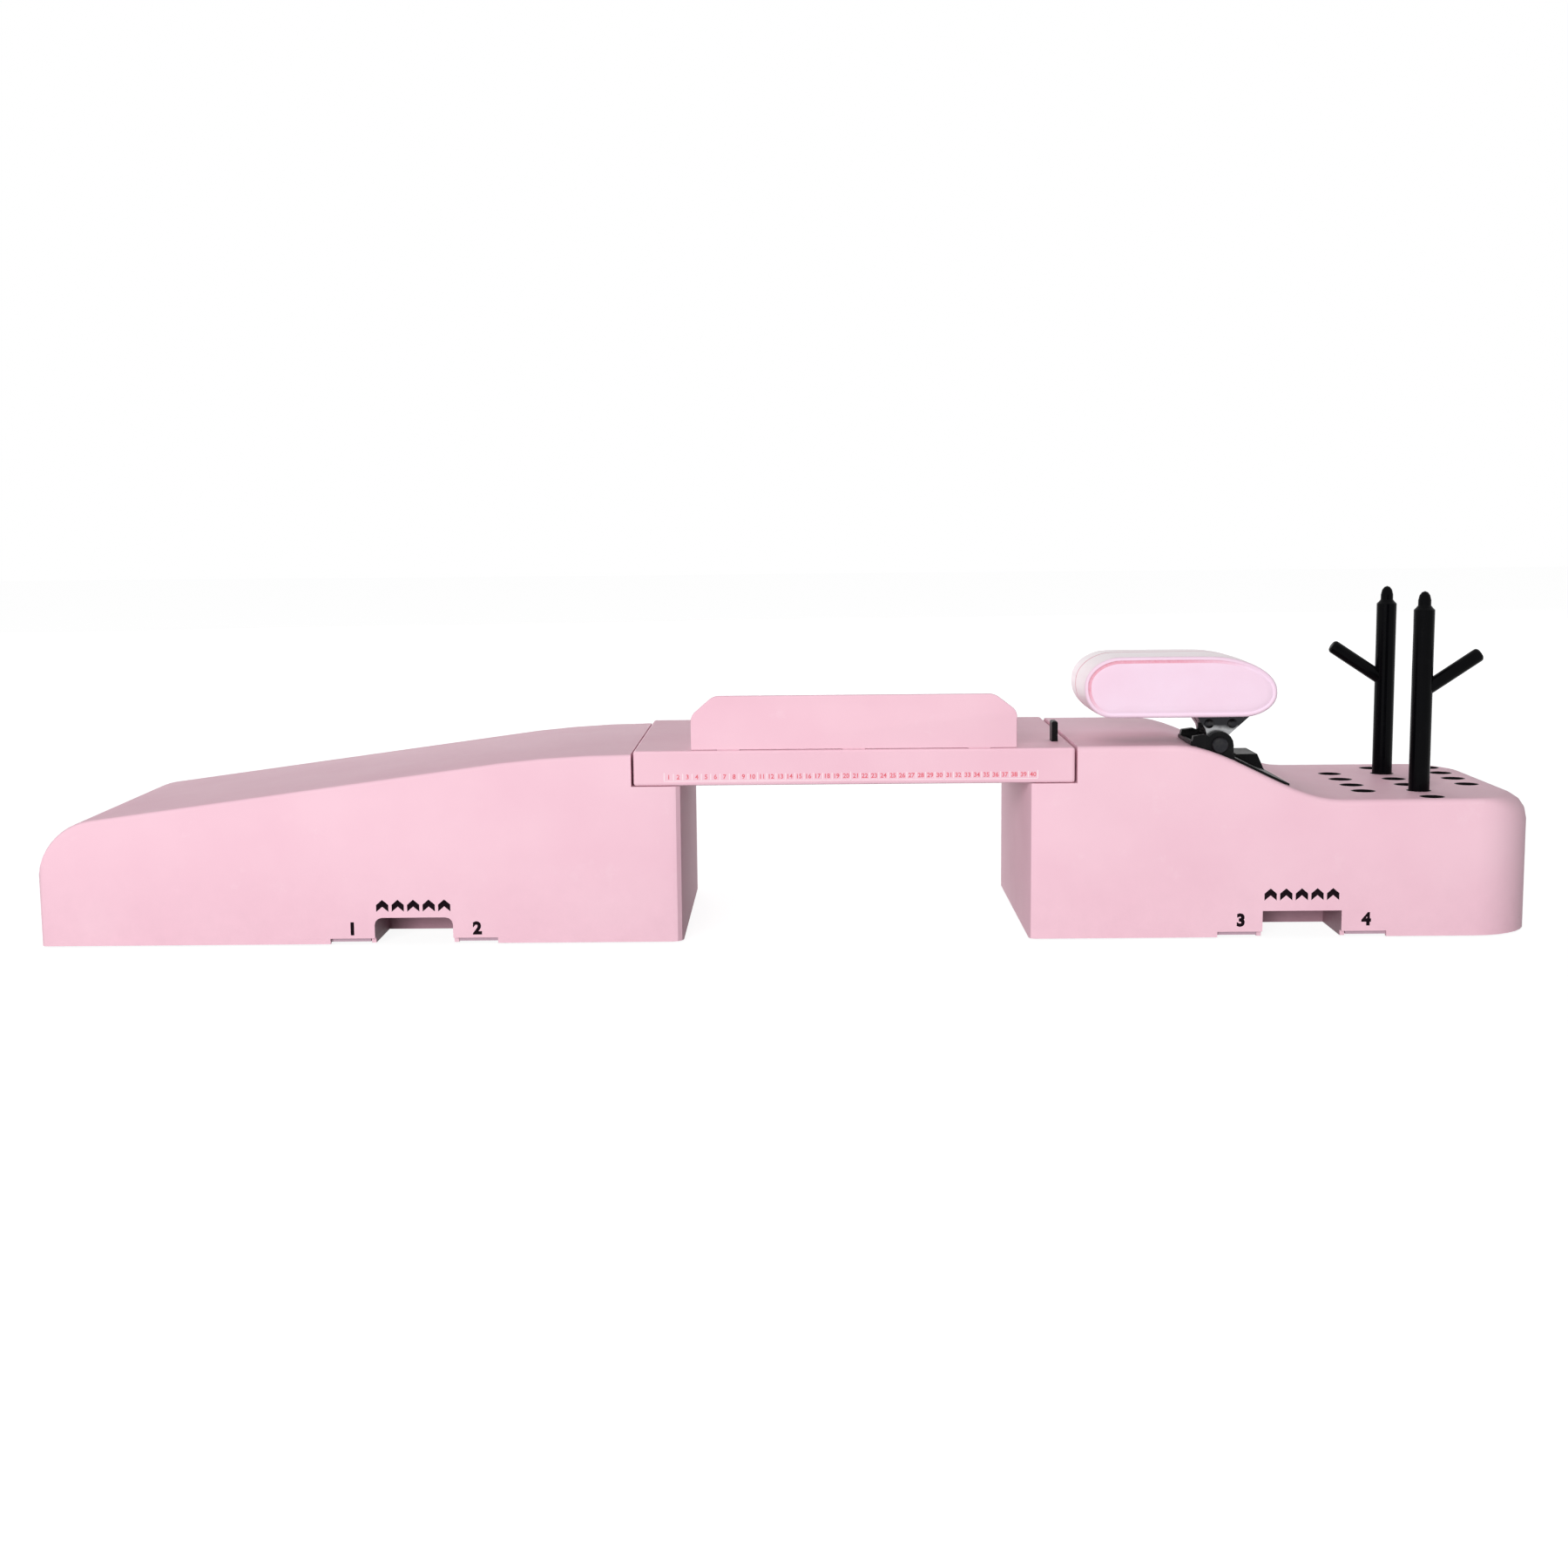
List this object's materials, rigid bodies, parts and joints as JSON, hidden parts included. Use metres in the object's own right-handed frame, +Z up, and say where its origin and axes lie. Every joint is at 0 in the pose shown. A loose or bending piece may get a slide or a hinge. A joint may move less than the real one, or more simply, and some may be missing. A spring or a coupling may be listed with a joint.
{
  "type": "die cutting machine",
  "caption": "Tabletop palm press for die cutting with a ramped pedestal, a lift-off bridge bed with a fence, a sprung press lever and a peg deck.",
  "frame": {"origin": "centre of the bounding box in plan, on the table surface", "axes": "+X to the user's right, along the machine; -Y towards the user; +Z up"},
  "size_m": [0.812, 0.162, 0.185],
  "materials": {
    "pink_body": "satin moulded",
    "pink_bed": "satin moulded",
    "pad_pink": "soft smooth",
    "base_plastic": "matte",
    "black_plastic": "satin",
    "peg_black": "glossy",
    "steel": "polished",
    "feet_rubber": "matte"
  },
  "bodies": {
    "base": {"left_shell": "pink_body", "left_base_plate": "base_plastic", "left_foot_1": "feet_rubber", "left_foot_2": "feet_rubber", "left_foot_3": "feet_rubber", "left_foot_4": "feet_rubber", "left_base_screw_1": "steel", "left_base_screw_2": "steel", "right_shell": "pink_body", "right_base_plate": "base_plastic", "right_foot_1": "feet_rubber", "right_foot_2": "feet_rubber", "right_foot_3": "feet_rubber", "right_foot_4": "feet_rubber", "right_base_screw_1": "steel", "right_base_screw_2": "steel", "tool_socket": "black_plastic", "anvil_plate": "steel", "pivot_bracket": "black_plastic", "slope_panel": "black_plastic", "stop_block": "black_plastic", "pivot_pin": "steel", "pin_clip": "steel", "return_spring": "steel"},
    "bridge": {"bridge_bed": "pink_bed", "fence": "pink_bed", "latch_tab": "black_plastic", "latch_hook": "black_plastic"},
    "lever": {"press_lever": "steel", "pad_plate": "steel", "palm_pad": "pad_pink", "neck_screw_1": "steel", "neck_screw_2": "steel"},
    "front_peg": {"peg_front": "peg_black"},
    "rear_peg": {"peg_rear": "peg_black"}
  },
  "joints": [
    {"name": "lever_press", "type": "hinge", "parent": "base", "child": "lever", "pos_m": [0.2325, -0.054, 0.1045], "axis": [0, -1, 0], "range_deg": [0, 6], "stiffness_Nm_per_rad": 6, "springref_deg": -6.88, "deforming": ["return_spring"]},
    {"name": "bridge_lift", "type": "slide", "parent": "base", "child": "bridge", "axis": [0, 0, 1], "range_m": [0, 0.06]},
    {"name": "front_peg_lift", "type": "slide", "parent": "base", "child": "front_peg", "axis": [0, 0, 1], "range_m": [0, 0.06]},
    {"name": "rear_peg_lift", "type": "slide", "parent": "base", "child": "rear_peg", "axis": [0, 0, 1], "range_m": [0, 0.06]}
  ]
}
